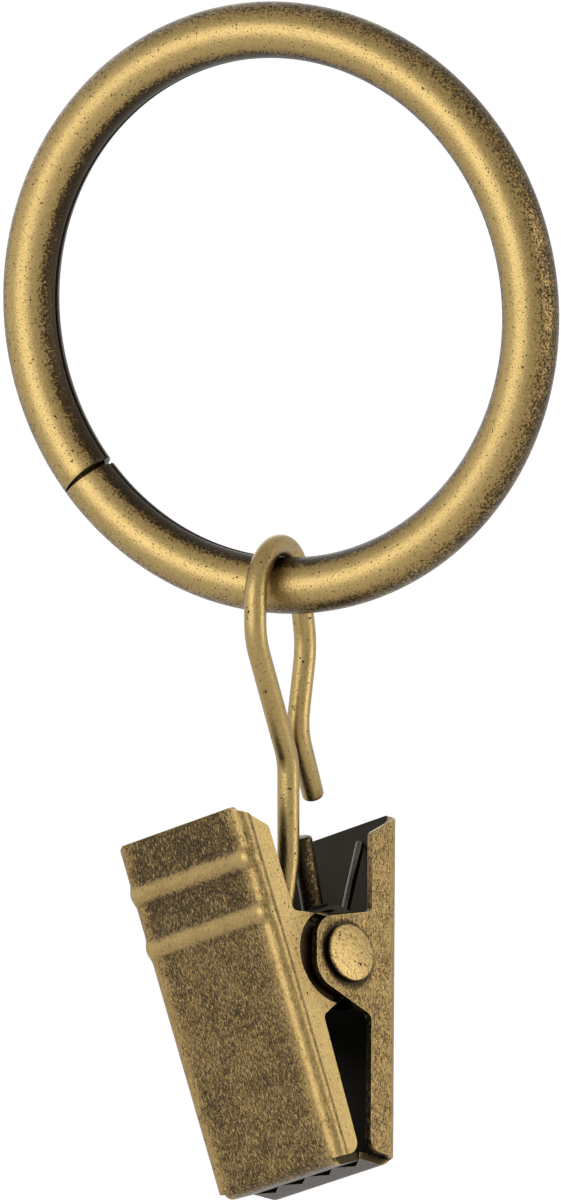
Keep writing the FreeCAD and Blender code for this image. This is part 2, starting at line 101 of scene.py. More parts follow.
class Shade:
    """A socket in a material's node tree. Sums on it add Math nodes, and node() adds any other node."""

    def __init__(self, tree, socket=None):
        self.tree = tree
        self.socket = socket

    def node(self, kind, settings, inputs, output=0):
        made = self.tree.nodes.new(kind)
        for name, setting in settings.items():
            setattr(made, name, setting)
        for name, given in inputs.items():
            if isinstance(given, Shade):
                self.tree.links.new(given.socket, made.inputs[name])
            else:
                made.inputs[name].default_value = given
        return Shade(self.tree, made.outputs[output]) if made.outputs else None

    def maths(self, operation, *terms):
        return self.node("ShaderNodeMath", {"operation": operation}, dict(enumerate(terms)))

    def __add__(self, other):
        return self.maths("ADD", self, other)

    def __radd__(self, other):
        return self.maths("ADD", other, self)

    def __sub__(self, other):
        return self.maths("SUBTRACT", self, other)

    def __rsub__(self, other):
        return self.maths("SUBTRACT", other, self)

    def __mul__(self, other):
        return self.maths("MULTIPLY", self, other)

    def __rmul__(self, other):
        return self.maths("MULTIPLY", other, self)

    def __abs__(self):
        return self.maths("ABSOLUTE", self)

    def step(self, low, high):
        """0 below low and 1 above high, with a soft rise between them."""
        settings = {"interpolation_type": "SMOOTHSTEP"}
        return self.node("ShaderNodeMapRange", settings, {"Value": self, "From Min": low, "From Max": high})

    def noise(self, scale, detail=2.0, roughness=0.5):
        inputs = {"Vector": self, "Scale": scale, "Detail": detail, "Roughness": roughness}
        return self.node("ShaderNodeTexNoise", {}, inputs)

    def mix(self, low, high):
        """A colour between two others."""
        return self.node("ShaderNodeMix", {"data_type": "RGBA"}, {0: self, 6: low, 7: high}, 2)


def new_material(name):
    """An empty material, and its node tree's Object coordinates."""
    material = bpy.data.materials.new(name)
    material.use_nodes = True
    material.node_tree.nodes.clear()
    return material, Shade(material.node_tree).node("ShaderNodeTexCoord", {}, {}, "Object")


BRIGHT_BRASS = (0.32, 0.23, 0.09, 1)
DULL_BRASS = (0.175, 0.108, 0.04, 1)
PATINA_AND_SHADE = (0.027, 0.019, 0.01, 1)
patina_and_shade_reach = 0.9 * MM
rubbed_rim = 0.12 * MM
grain_height = 0.05 * MM


def antique_brass(place, polish_and_shade, pits, grain):
    """The antique finish: dark patina, rubbed back to brass on rims and by polishing. The dark that occlusion
    leaves in recesses is partly patina and partly painted shade.
    """
    settings = {"only_local": True, "samples": 8}
    open_to_rubbing_and_light = place.node("ShaderNodeAmbientOcclusion", settings, {"Distance": patina_and_shade_reach}, "AO")
    rounded = place.node("ShaderNodeBevel", {"samples": 6}, {"Radius": rubbed_rim})
    flat = place.node("ShaderNodeNewGeometry", {}, {}, "Normal")
    alike = place.node("ShaderNodeVectorMath", {"operation": "DOT_PRODUCT"}, {0: rounded, 1: flat}, "Value")
    rim = (1 - alike).step(0.01, 0.12)
    mottle = place.noise(650.0, 4.0, 0.6)
    # Occlusion and the caller's shade masks lower the tone, so the patina colour paints shade there as well
    # as patina.
    tone = polish_and_shade + 0.4 * rim - (1 - open_to_rubbing_and_light) + (mottle - 0.5) * 0.3 + (grain - 0.5) * 1.3
    rubbed = tone.step(0.08, 0.92)
    metal = rubbed.mix(DULL_BRASS, BRIGHT_BRASS)
    coated_and_shaded = rubbed.step(0.0, 0.55).mix(PATINA_AND_SHADE, metal)
    colour = pits.mix(coated_and_shaded, PATINA_AND_SHADE)
    rough = 0.39 - 0.08 * rubbed + 0.15 * pits
    height = grain - 0.8 * pits
    normal = place.node("ShaderNodeBump", {}, {"Strength": 0.6, "Distance": grain_height, "Height": height})
    inputs = {"Base Color": colour, "Metallic": 1.0, "Roughness": rough, "Normal": normal}
    shader = place.node("ShaderNodeBsdfPrincipled", {}, inputs)
    place.node("ShaderNodeOutputMaterial", {}, {"Surface": shader})


ring_brass, place = new_material("ring_brass")
ring_grain = place.noise(5200.0, 3.0, 0.7)
ring_pits = place.noise(6500.0, 0.0).step(0.72, 0.80)
flattened = place.node("ShaderNodeMapping", {}, {"Vector": place, "Scale": (1.0, 0.0, 1.0)})
from_axis = place.node("ShaderNodeVectorMath", {"operation": "LENGTH"}, {0: flattened}, "Value")
# The tube's inner and outer walls are darker than its crown: partly patina, partly painted shade that keeps
# the tube's rims dark.
inner_wall_patina_and_shade = 1 - from_axis.step(ring_inside, ring_inside + 0.55 * tube_radius)
outer_wall_patina_and_shade = from_axis.step(ring_outside - 0.75 * tube_radius, ring_outside)
antique_brass(place, 0.76 - 0.7 * inner_wall_patina_and_shade - 0.45 * outer_wall_patina_and_shade, ring_pits, ring_grain)

bm = bmesh.new()
section = bmesh.ops.create_circle(bm, cap_ends=False, radius=tube_radius, segments=tube_sides)["verts"]
bmesh.ops.delete(bm, geom=[min(section, key=lambda vert: vert.co.x)], context="VERTS")
bmesh.ops.translate(bm, verts=bm.verts, vec=(ring_outside - tube_radius, 0, 0))
half_gap = butt_gap_outside / 2 / ring_outside
around = Vector((0, -1, 0))
bmesh.ops.rotate(bm, verts=bm.verts, cent=(0, 0, 0), matrix=Matrix.Rotation(butt_angle + half_gap, 3, around))
first_end = bm.verts[:]
spun = bmesh.ops.spin(
    bm,
    geom=bm.edges[:],
    cent=(0, 0, 0),
    axis=around,
    angle=2 * math.pi - 2 * half_gap,
    steps=ring_steps,
)
last_end = [part for part in spun["geom_last"] if isinstance(part, bmesh.types.BMVert)]
for end, way in ((first_end, 1), (last_end, -1)):
    for vert in end:
        radius = math.hypot(vert.co.x, vert.co.z)
        depth = (ring_outside - radius) / (2 * tube_radius)
        opening = way * depth * (butt_gap_inside - butt_gap_outside) / 2 / radius
        vert.co.rotate(Matrix.Rotation(opening, 3, around))
bmesh.ops.recalc_face_normals(bm, faces=bm.faces)
ring = make_piece(bm, "ring_tube", ring_brass)
strip = ring.modifiers.new("strip", "SOLIDIFY")
strip.thickness = tube_wall
strip.offset = -1
rim = ring.modifiers.new("rim", "BEVEL")
rim.width = strip_edge
rim.segments = 2
rim.angle_limit = math.radians(50)
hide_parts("ring")
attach(ring, "ring")

# Hook
# One length of round brass wire, bent to a bow over the ring, a straight leg and an eye round the pin.
# Both its ends are cut free, the bow's below the ring and the eye's behind the leg.
wire_radius = 0.85 * MM
ring_bottom = tube_radius - ring_outside
bow_half = tube_radius + wire_radius + 1.35 * MM
bow_top = tube_radius + wire_radius + 0.04 * MM
bow_shift = 0.3 * MM
bow_back_inset = 2.0 * MM
bow_back_bend = 3.5 * MM
bow_front_bend = bow_half - 0.5 * MM
bow_foot_drop = 5.0 * MM
bow_foot_bend = 6.0 * MM
waist_back = 3.08 * MM
waist_drop = 11.35 * MM
waist_bend = 4.0 * MM
tip_back = 5.95 * MM
tip_drop = 16.85 * MM
shoulder_drop = 3.75 * MM
shoulder_bend = 5.0 * MM
leg_drop = 13.6 * MM
leg_bend = 4.0 * MM
leg_shift = 1.6 * MM
eye_turn = math.radians(20)
eye_shift = 1.15 * MM
eye_drop = 29.54 * MM
eye_bend = 2.35 * MM
eye_entry_bend = 8.0 * MM
eye_flat = 0.1 * MM
eye_front_lean = math.radians(8.3)
eye_rear_lean = math.radians(10.9)
eye_end_rise = 9.9 * MM
eye_end_aside = -0.45 * MM * Vector((math.cos(eye_turn), -math.sin(eye_turn), 0))
cut_round = 0.28 * MM
strand_shade_back = 2.4 * MM
strand_shade_top = -38.0 * MM


def bow_point(along, up):
    """A point in the bow's plane, from the middle of the ring's tube at its lowest place."""
    return Vector((0, along, ring_bottom + up))


def eye_point(along, up):
    """A point in the eye's plane, which is turned towards the clip's, from the eye's middle."""
    aside = along * math.sin(eye_turn)
    back = leg_shift + along * math.cos(eye_turn)
    return Vector((aside, back, ring_bottom - eye_drop + up))


def strand(lean, up):
    """How far a leaning side of the eye is from the eye's middle, at a height above it."""
    return eye_bend / math.cos(lean) - up * math.tan(lean)


def draw_wire(bm, corners, radius, sides):
    """A round wire through the corners, each a point and a bend radius: straight runs joined by bends."""
    points = [point for point, bend in corners]
    heading = (points[1] - points[0]).to_track_quat("Z", "Y").to_matrix().to_4x4()
    start = Matrix.Translation(points[0]) @ heading
    drawn = bmesh.ops.create_circle(bm, cap_ends=False, radius=radius, segments=sides, matrix=start)["verts"]
    loop = [edge for edge in bm.edges if edge.verts[0] in drawn]
    first = loop
    reached = points[0]
    for i in range(1, len(points) - 1):
        before = (points[i] - points[i - 1]).normalized()
        after = (points[i + 1] - points[i]).normalized()
        bend = corners[i][1]
        turn = before.angle(after)
        tangent = bend * math.tan(turn / 2)
        loop = draw_run(bm, loop, points[i] - before * tangent - reached)
        axis = before.cross(after).normalized()
        centre = points[i] - before * tangent + axis.cross(before) * bend
        steps = max(4, round(math.degrees(turn) / 5))
        spun = bmesh.ops.spin(bm, geom=loop, cent=centre, axis=axis, angle=turn, steps=steps)
        loop = [part for part in spun["geom_last"] if isinstance(part, bmesh.types.BMEdge)]
        reached = points[i] + after * tangent
    return first, draw_run(bm, loop, points[-1] - reached)


def draw_run(bm, loop, along):
    """Draws a loop of edges straight on."""
    drawn = bmesh.ops.extrude_edge_only(bm, edges=loop)["geom"]
    bmesh.ops.translate(bm, verts=[part for part in drawn if isinstance(part, bmesh.types.BMVert)], vec=along)
    return [part for part in drawn if isinstance(part, bmesh.types.BMEdge) and part.is_boundary]


def close_end(bm, loop, round_off):
    """Closes a wire's cut end, with its rim rounded off."""
    bmesh.ops.contextual_create(bm, geom=loop)
    bmesh.ops.bevel(
        bm,
        geom=loop,
        offset=round_off,
        offset_type="OFFSET",
        segments=4,
        profile=0.5,
        affect="EDGES",
        material=-1,
    )


hook_brass, place = new_material("hook_brass")
hook_grain = place.noise(4800.0, 3.0, 0.7)
hook_pits = place.noise(3600.0, 1.0).step(0.68, 0.76)
turned = {"Vector": place, "Rotation": (0, 0, -eye_turn)}
beside_leg = place.node("ShaderNodeMapping", {"vector_type": "TEXTURE"}, turned)
behind_leg = place.node("ShaderNodeSeparateXYZ", {}, {"Vector": beside_leg}, "Y")
height = place.node("ShaderNodeSeparateXYZ", {}, {"Vector": place}, "Z")
# Painted shadow: the eye's return strand, low down behind the leg, is darkened where the leg shades it.
shaded_return_strand = behind_leg.step(strand_shade_back, strand_shade_back + 0.6 * MM)
low_down = height.step(strand_shade_top, strand_shade_top - 2.0 * MM)
antique_brass(place, 0.72 - 0.5 * shaded_return_strand * low_down, hook_pits, hook_grain)

bm = bmesh.new()
front_rise = (eye_bend / math.cos(eye_front_lean) - eye_shift) / math.tan(eye_front_lean)
eye_end = eye_point(eye_shift + strand(eye_rear_lean, eye_end_rise) + eye_flat, eye_end_rise)
tip_loop, eye_loop = draw_wire(
    bm,
    [
        (bow_point(tip_back, -tip_drop), 0),
        (bow_point(waist_back, -waist_drop), waist_bend),
        (bow_point(bow_shift + bow_half, -bow_foot_drop), bow_foot_bend),
        (bow_point(bow_shift + bow_half - bow_back_inset, bow_top), bow_back_bend),
        (bow_point(bow_shift - bow_half, bow_top), bow_front_bend),
        (bow_point(bow_shift - bow_half, -shoulder_drop), shoulder_bend),
        (bow_point(leg_shift, -leg_drop), leg_bend),
        (eye_point(0, front_rise), eye_entry_bend),
        (eye_point(eye_shift - strand(eye_front_lean, -eye_bend) - eye_flat, -eye_bend), eye_bend),
        (eye_point(eye_shift + strand(eye_rear_lean, -eye_bend) + eye_flat, -eye_bend), eye_bend),
        (eye_end + eye_end_aside, 0),
    ],
    wire_radius,
    sides=40,
)
close_end(bm, tip_loop, cut_round)
close_end(bm, eye_loop, cut_round)
bmesh.ops.recalc_face_normals(bm, faces=bm.faces)
hook = make_piece(bm, "hook_wire", hook_brass)
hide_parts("hook")
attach(hook, "hook")

# Front jaw
# Brass sheet, folded along both sides and its lower end, with two finger ribs pressed across its tail.
# Round the pin its ears are pressed in by a sheet's thickness, so that they turn inside the rear jaw's.
swivel = next(joint for joint in frame["record"]["behaviour"]["joints"] if joint["name"] == "clip_swivel")
clip_turn = math.radians(19.7)
clip_lean = math.radians(18.6)
clip_pitch = math.radians(-6.7)
clip_frame = (
    Matrix.Translation(swivel["pos_m"])
    @ Matrix.Rotation(-clip_turn, 4, "Z")
    @ Matrix.Rotation(-clip_lean, 4, "Y")
    @ Matrix.Rotation(clip_pitch, 4, "X")
)
clip_width = 14.35 * MM
sheet = 0.6 * MM
fold_radius = 1.0 * MM
fold_steps = 7
fold_middle = fold_radius - sheet / 2
fold_length = fold_middle * math.pi / 2
crease_start = 0.7 * fold_length
crease_middle = 1.12 * fold_length
crease_end = 1.25 * fold_length
sheet_edge = 0.1 * MM
half_flat = clip_width / 2 - fold_radius
tail_slant = 2.05 * MM
flange_lift = 0.6 * MM
flange_round = 0.5 * MM
flange_corner = 1.0 * MM
ear_corner = 1.9 * MM
teeth = 4
tooth_depth = 1.0 * MM
mouth_gap = 0.2 * MM
mouth_shift = 0.375 * MM
mouth_drop = 15.55 * MM
pin_radius = 1.0 * MM

front_tilt = math.radians(11.3)
front_face = 6.92 * MM
front_tail = 12.95 * MM
front_tip = 15.4 * MM
front_flange = 2.8 * MM
front_flange_low = 2.45 * MM
front_ear_top = 4.2 * MM
front_ear_foot = 4.1 * MM
front_reach = 2.9 * MM
front_reach_top = 2.2 * MM
front_reach_foot = 1.7 * MM
front_crease = 0.14 * MM
joggle_shift = 1.0 * MM
joggle_radius = 3.92 * MM
joggle_slope = 0.2 * MM
ear_gap = 0.1 * MM
rib_middles = (8.95 * MM, 4.65 * MM)
rib_half = 1.05 * MM
rib_height = 0.33 * MM
rib_steps = 12
tail_patina_foot = 3.6 * MM
pressed_level = 6.5 * MM
unrubbed_radius = 4.6 * MM
front_frame = clip_frame @ Matrix.Rotation(front_tilt, 4, "X")


def on_flange(depth):
    """Where a point of the flange lies across the flat blank, by its depth behind the jaw's face."""
    return half_flat + fold_length + depth - fold_radius


def on_lip(depth, tip):
    """Where a point of the lip lies along the flat blank, by its depth behind the jaw's face."""
    return -tip - fold_length - depth + 2 * fold_radius


def tooth_corners(tip, face, edge, first_out):
    """Half of the toothed edge, from the jaw's side to its middle."""
    corners = []
    for step in range(teeth, -1, -1):
        out = (step % 2 == 0) == first_out
        depth = face + edge + (tooth_depth if out else -tooth_depth) / 2 - mouth_gap / 2
        corners.append((half_flat * step / teeth, on_lip(depth, tip), 0))
    return corners


def cut_blank(bm, corners, hole=None):
    """A flat piece of sheet with rounded corners, each its place across, its place along and its radius."""
    verts = [bm.verts.new((across, along, 0)) for across, along, radius in corners]
    face = bm.faces.new(verts)
    for i, (across, along, radius) in enumerate(corners):
        if radius:
            here = Vector((across, along))
            back = Vector(corners[i - 1][:2]) - here
            ahead = Vector(corners[(i + 1) % len(corners)][:2]) - here
            bmesh.ops.bevel(
                bm,
                geom=[verts[i]],
                offset=radius / math.tan(back.angle(ahead) / 2),
                offset_type="OFFSET",
                segments=8,
                profile=0.5,
                affect="VERTICES",
                material=-1,
            )
    if hole:
        face = next(face for face in bm.faces if verts[0] in face.verts)
        rim = face.edges[:]
        bmesh.ops.delete(bm, geom=[face], context="FACES_ONLY")
        place = Matrix.Translation((hole, 0, 0))
        before = set(bm.edges)
        bmesh.ops.create_circle(bm, cap_ends=False, radius=pin_radius, segments=40, matrix=place)
        rim += [edge for edge in bm.edges if edge not in before]
        bmesh.ops.triangle_fill(bm, use_beauty=True, edges=rim, normal=(0, 0, 1))
    return verts


def score(bm, places, direction, reach=math.inf):
    """Cuts the flat sheet along straight lines, as far across as reach, so that they can bend there."""
    for place in places:
        faces = [face for face in bm.faces if face.calc_center_median().x < reach]
        edges = {edge for face in faces for edge in face.edges}
        verts = {vert for face in faces for vert in face.verts}
        cut = [*verts, *edges, *faces]
        bmesh.ops.bisect_plane(bm, geom=cut, dist=WELD, plane_co=direction * place, plane_no=direction)


def rise(place, low, high):
    """A soft rise from 0 to 1."""
    share = min(1, max(0, (place - low) / (high - low)))
    return share * share * (3 - 2 * share)


def bend_round(past, out):
    """Where a point lies after a fold: how far on it reaches, and how far back."""
    if past <= 0:
        return past, -out
    if past >= fold_length:
        return fold_middle + out, fold_middle + past - fold_length
    angle = past / fold_middle
    return (fold_middle + out) * math.sin(angle), fold_middle - (fold_middle + out) * math.cos(angle)


def fold_sheet(bm, face, tip, crease):
    """Folds the flat half along its side and its lip, the plate's middle half a sheet behind its face."""
    for vert in bm.verts:
        across, along, out = vert.co
        past_side = across - half_flat
        past_lip = fold_radius - tip - along
        if past_side > WELD:
            sunk = crease * rise(past_side, crease_start, crease_end)
            on, back = bend_round(past_side, out - sunk)
            vert.co = (half_flat + on, back - face + sheet / 2, along)
        else:
            on, back = bend_round(past_lip, out)
            vert.co = (across, back - face + sheet / 2, fold_radius - tip - on)


def score_folds(bm, tip):
    """Score lines for the side fold, its crease and the lip's fold."""
    fold = [fold_length * step / fold_steps for step in range(fold_steps + 1)]
    side = fold + [crease_middle, crease_end]
    score(bm, [half_flat + past for past in side], Vector((1, 0, 0)))
    score(bm, [fold_radius - tip - past for past in fold], Vector((0, 1, 0)))


def finish_jaw(bm, jaw_frame):
    """The other half, then the jaw in its place with its outer side facing out."""
    bmesh.ops.remove_doubles(bm, verts=bm.verts, dist=WELD)
    whole = bm.verts[:] + bm.edges[:] + bm.faces[:]
    bmesh.ops.mirror(bm, geom=whole, matrix=Matrix.Identity(4), merge_dist=WELD, axis="X")
    bmesh.ops.recalc_face_normals(bm, faces=bm.faces)
    bm.normal_update()
    widest = max(bm.faces, key=lambda face: face.calc_area() * -min(0, face.calc_center_median().y))
    if widest.normal.y > 0:
        bmesh.ops.reverse_faces(bm, faces=bm.faces)
    bmesh.ops.transform(bm, matrix=jaw_frame, verts=bm.verts)


def thicken(jaw):
    """Gives the folded sheet its thickness, dark inside, and rubs its cut edges round."""
    wall = jaw.modifiers.new("sheet", "SOLIDIFY")
    wall.thickness = sheet
    wall.offset = 0
    wall.material_offset = 1
    edges = jaw.modifiers.new("rubbed_edges", "BEVEL")
    edges.width = sheet_edge
    edges.segments = 3
    edges.angle_limit = math.radians(42)
    jaw.modifiers.new("even_shading", "WEIGHTED_NORMAL").weight = 100


def in_frame(place, own_frame):
    """Object coordinates turned into a piece's own frame."""
    settings = {"vector_type": "TEXTURE"}
    inputs = {"Vector": place, "Location": own_frame.translation, "Rotation": own_frame.to_euler()}
    return place.node("ShaderNodeMapping", settings, inputs)


def split(place):
    """The three coordinates by themselves."""
    return [place.node("ShaderNodeSeparateXYZ", {}, {"Vector": place}, axis) for axis in "XYZ"]


def rubbed_sheet(name, own_frame, face, tip):
    """The jaws' finish: a hammered grain and lengthwise scratches, rubbed bright on folds and edges."""
    material, place = new_material(name)
    own = in_frame(place, own_frame)
    x, y, z = split(own)
    stretched = own.node("ShaderNodeMapping", {}, {"Vector": own, "Scale": (1.0, 1.0, 0.3)})
    scratches = stretched.noise(7500.0, 3.0, 0.7)
    grain = place.noise(6200.0, 3.0, 0.75)
    behind = y + face
    fold = abs(x).step(half_flat - 1.2 * MM, half_flat + 0.5 * MM) * (1 - behind.step(0.7 * MM, 1.2 * MM))
    lip = behind.step(0.6 * MM, 1.2 * MM) * z.step(0.5 * MM - tip, 0.2 * MM - tip)
    sideways = own.node("ShaderNodeMapping", {}, {"Vector": own, "Scale": (0.0, 1.0, 1.0)})
    from_pin = own.node("ShaderNodeVectorMath", {"operation": "LENGTH"}, {0: sideways}, "Value")
    hammered = grain * 0.6 + scratches * 0.5 - 0.1 + 0.3 * scratches.step(0.58, 0.72)
    return material, own, from_pin, hammered, fold, lip


front_brass, place, from_pin, front_grain, front_fold, front_lip = rubbed_sheet(
    "front_jaw_brass", front_frame, front_face, front_tip
)
x, y, z = split(place)
behind = y + front_face
front_ribs = behind.step(0.0, -0.3 * MM)
on_tail = z.step(tail_patina_foot, tail_patina_foot + 1.2 * MM)
front_tail_patina = on_tail * (1 - behind.step(0.5 * sheet, sheet))
on_side = behind.step(fold_radius, fold_radius + 0.3 * MM)
# Painted shadow: the pressed-in ear inside the arc is darkened nearly to black, where the rear jaw's ear
# shades it.
pressed_in_shadow = on_side * (1 - abs(x).step(pressed_level, pressed_level + 0.45 * MM))
unrubbed = on_side * (1 - from_pin.step(unrubbed_radius, unrubbed_radius + 1.8 * MM))
front_polish = 0.42 + 0.2 * front_fold + 0.3 * front_ribs - 0.06 * front_tail_patina + 0.3 * on_side
front_pits = place.noise(3400.0, 1.0).step(0.70, 0.80)
# Darker in the grey unrubbed zone round the pin (patina), in the pressed-in ear (painted shadow) and on the
# lip.
front_patina_and_shadow = 0.15 * unrubbed + 1.3 * pressed_in_shadow + 0.4 * front_lip
antique_brass(place, front_polish - front_patina_and_shadow, front_pits, front_grain)

jaw_dark, place = new_material("jaw_inside")
dark_smear = place.noise(500.0, 4.0, 0.6)
dark_inputs = {
    "Base Color": dark_smear.mix((0.006, 0.0055, 0.0035, 1), (0.035, 0.03, 0.02, 1)),
    "Metallic": 1.0,
    "Roughness": 0.42 + 0.2 * dark_smear,
}
dark_shader = place.node("ShaderNodeBsdfPrincipled", {}, dark_inputs)
place.node("ShaderNodeOutputMaterial", {}, {"Surface": dark_shader})

pin_across = on_flange(front_face)
ear_top_line = (
    Vector((on_flange(front_flange), front_ear_top)),
    Vector((on_flange(front_face + front_reach), front_reach_top)),
)
ear_foot_line = (
    Vector((on_flange(front_flange), -front_ear_foot)),
    Vector((on_flange(front_face + front_reach), -front_reach_foot)),
)


def joggle_arc(radius, steps=28):
    """The line round the pin where the ear is pressed in, from the ear's top edge to its foot."""
    middle = Vector((pin_across - joggle_shift, 0))
    top = next(filter(None, intersect_line_sphere_2d(*ear_top_line, middle, radius))) - middle
    foot = next(filter(None, intersect_line_sphere_2d(*ear_foot_line, middle, radius))) - middle
    start = math.atan2(top.y, top.x)
    sweep = (math.atan2(foot.y, foot.x) - start) % (2 * math.pi)
    angles = [start + sweep * step / steps for step in range(steps + 1)]
    return [(middle.x + radius * math.cos(angle), radius * math.sin(angle), 0) for angle in angles]


bm = bmesh.new()
outer_arc = joggle_arc(joggle_radius)
outer_corners = [
    (0, front_tail, 0),
    (half_flat, front_tail, 0),
    (on_flange(front_flange), front_tail - tail_slant, flange_round),
    (on_flange(front_flange), front_ear_top, flange_round),
    *outer_arc,
    (on_flange(front_flange), -front_ear_foot, flange_round),
    (on_flange(front_flange_low), flange_lift - front_tip, flange_corner),
    (half_flat, flange_lift - front_tip, 0),
    *tooth_corners(
        front_tip,
        front_face,
        -mouth_shift * math.cos(front_tilt) - mouth_drop * math.sin(front_tilt),
        first_out=False,
    ),
]
outer_verts = cut_blank(bm, outer_corners)[4 : 4 + len(outer_arc)]
inner_arc = joggle_arc(joggle_radius - joggle_slope)
inner_corners = [
    *inner_arc,
    (on_flange(front_face + front_reach), -front_reach_foot, ear_corner),
    (on_flange(front_face + front_reach), front_reach_top, ear_corner),
]
outside = set(bm.verts)
inner_verts = cut_blank(bm, inner_corners, hole=pin_across)[: len(inner_arc)]
for vert in bm.verts:
    if vert not in outside:
        vert.co.z = -sheet - ear_gap
wall_edges = []
for chain in (outer_verts, inner_verts):
    wall_edges += [bm.edges.get(pair) for pair in zip(chain, chain[1:])]
bmesh.ops.bridge_loops(bm, edges=wall_edges)
score_folds(bm, front_tip)
for middle in rib_middles:
    lines = [middle + rib_half * (2 * step / rib_steps - 1) for step in range(rib_steps + 1)]
    score(bm, lines, Vector((0, 1, 0)), half_flat + crease_end)
# The lower rib's first two lines go on across the flange and part it at the pressed arc's sharp end.
score(bm, lines[:2], Vector((0, 1, 0)))
for vert in bm.verts:
    fade = 1 - rise(vert.co.x, half_flat, half_flat + fold_length)
    for middle in rib_middles:
        off = min(1, abs(vert.co.y - middle) / rib_half)
        vert.co.z += rib_height * fade * math.cos(off * math.pi / 2) ** 2
fold_sheet(bm, front_face, front_tip, front_crease)
finish_jaw(bm, front_frame)
front_jaw = make_piece(bm, "front_jaw_sheet", front_brass, jaw_dark)
thicken(front_jaw)
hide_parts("front_jaw")
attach(front_jaw, "front_jaw")

# Rear jaw
# The same brass sheet, folded the same way, but plain, with its ears in line with its flanges.
# Its ears stand outside the front jaw's, and the pin is riveted over them.
rear_tilt = math.radians(11.0)
rear_face = 5.29 * MM
rear_tail = 12.4 * MM
rear_tip = 15.7 * MM
rear_flange = 2.83 * MM
rear_ear_top = 3.93 * MM
rear_ear_foot = 4.4 * MM
rear_reach = 3.1 * MM
rear_reach_top = 2.25 * MM
rear_reach_foot = 2.45 * MM
head_shade = 2.3 * MM
rear_frame = clip_frame @ Matrix.Rotation(math.pi, 4, "Z") @ Matrix.Rotation(rear_tilt, 4, "X")

rear_brass, place, from_pin, rear_grain, rear_fold, rear_lip = rubbed_sheet(
    "rear_jaw_brass", rear_frame, rear_face, rear_tip
)
# Painted shadow round the pin's head on the rear ear, with some patina in that corner; the lip is darker too.
patina_and_shade_round_head = 1 - from_pin.step(head_shade, head_shade + 0.6 * MM)
rear_pits = place.noise(3400.0, 1.0).step(0.70, 0.80)
antique_brass(place, 0.47 + 0.15 * rear_fold - 0.35 * patina_and_shade_round_head - 0.4 * rear_lip, rear_pits, rear_grain)

bm = bmesh.new()
cut_blank(
    bm,
    [
        (0, rear_tail, 0),
        (half_flat, rear_tail, 0),
        (on_flange(rear_flange), rear_tail - tail_slant, flange_round),
        (on_flange(rear_flange), rear_ear_top, flange_round),
        (on_flange(rear_face + rear_reach), rear_reach_top, ear_corner),
        (on_flange(rear_face + rear_reach), -rear_reach_foot, ear_corner),
        (on_flange(rear_flange), -rear_ear_foot, flange_round),
        (on_flange(rear_flange), flange_lift - rear_tip, flange_corner),
        (half_flat, flange_lift - rear_tip, 0),
        *tooth_corners(
            rear_tip,
            rear_face,
            mouth_shift * math.cos(rear_tilt) - mouth_drop * math.sin(rear_tilt),
            first_out=True,
        ),
    ],
    hole=on_flange(rear_face),
)
score_folds(bm, rear_tip)
fold_sheet(bm, rear_face, rear_tip, crease=0)
finish_jaw(bm, rear_frame)
rear_jaw = make_piece(bm, "rear_jaw_sheet", rear_brass, jaw_dark)
thicken(rear_jaw)
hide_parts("rear_jaw")
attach(rear_jaw, "rear_jaw")

# Torsion spring
# Dark spring wire wound round the pin beside the hook's eye, with a straight leg against each jaw's inside.
# Squeezing the tails together winds it up, and it closes the mouth again.
spring_radius = 0.35 * MM
spring_cut_round = 0.1 * MM
coil_play = 0.12 * MM
coil_side_play = 0.1 * MM
coil_radius = pin_radius + coil_play + spring_radius
coil_length = 1.78 * MM
coil_turns = 2
coil_steps = 90
coil_near = clip_width / 2 - 2 * sheet - ear_gap - coil_side_play - spring_radius
coil_far = coil_near - coil_length
front_spread = math.radians(26.7)
rear_spread = math.radians(14.5)
front_leg = front_tilt + front_spread
rear_leg = rear_tilt + rear_spread
leg_rest = 0.05 * MM


def leg_length(face, spread):
    """From the coil to where the leg lies on a jaw's plate."""
    return (face - sheet - spring_radius - leg_rest - coil_radius * math.cos(spread)) / math.sin(spread)


spring_steel, place = new_material("spring_steel")
steel_smear = place.noise(1500.0, 3.0, 0.6)
steel_inputs = {
    "Base Color": steel_smear.mix((0.05, 0.046, 0.038, 1), (0.14, 0.128, 0.10, 1)),
    "Metallic": 1.0,
    "Roughness": 0.14 + 0.1 * steel_smear,
}
steel_shader = place.node("ShaderNodeBsdfPrincipled", {}, steel_inputs)
place.node("ShaderNodeOutputMaterial", {}, {"Surface": steel_shader})

bm = bmesh.new()
rear_way = Vector((0, math.sin(rear_leg), math.cos(rear_leg)))
front_way = Vector((0, -math.sin(front_leg), math.cos(front_leg)))
coil_start = Vector((coil_far, coil_radius * math.cos(rear_leg), -coil_radius * math.sin(rear_leg)))
rear_tip_loop, loop = draw_wire(
    bm,
    [(coil_start + rear_way * leg_length(rear_face, rear_spread), 0), (coil_start, 0)],
    spring_radius,
    sides=20,
)
wound = coil_turns * 2 * math.pi + math.pi - front_leg - rear_leg
spun = bmesh.ops.spin(
    bm,
    geom=loop,
    cent=(0, 0, 0),
    axis=(1, 0, 0),
    dvec=(coil_length / coil_steps, 0, 0),
    angle=-wound,
    steps=coil_steps,
)
loop = [part for part in spun["geom_last"] if isinstance(part, bmesh.types.BMEdge)]
front_tip_loop = draw_run(bm, loop, front_way * leg_length(front_face, front_spread))
close_end(bm, rear_tip_loop, spring_cut_round)
close_end(bm, front_tip_loop, spring_cut_round)
bmesh.ops.recalc_face_normals(bm, faces=bm.faces)
bmesh.ops.transform(bm, matrix=clip_frame, verts=bm.verts)
spring = make_piece(bm, "torsion_spring_wire", spring_steel)
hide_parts("torsion_spring")
clip_frame @ Vector((coil_far + spring_radius, 0, 0))
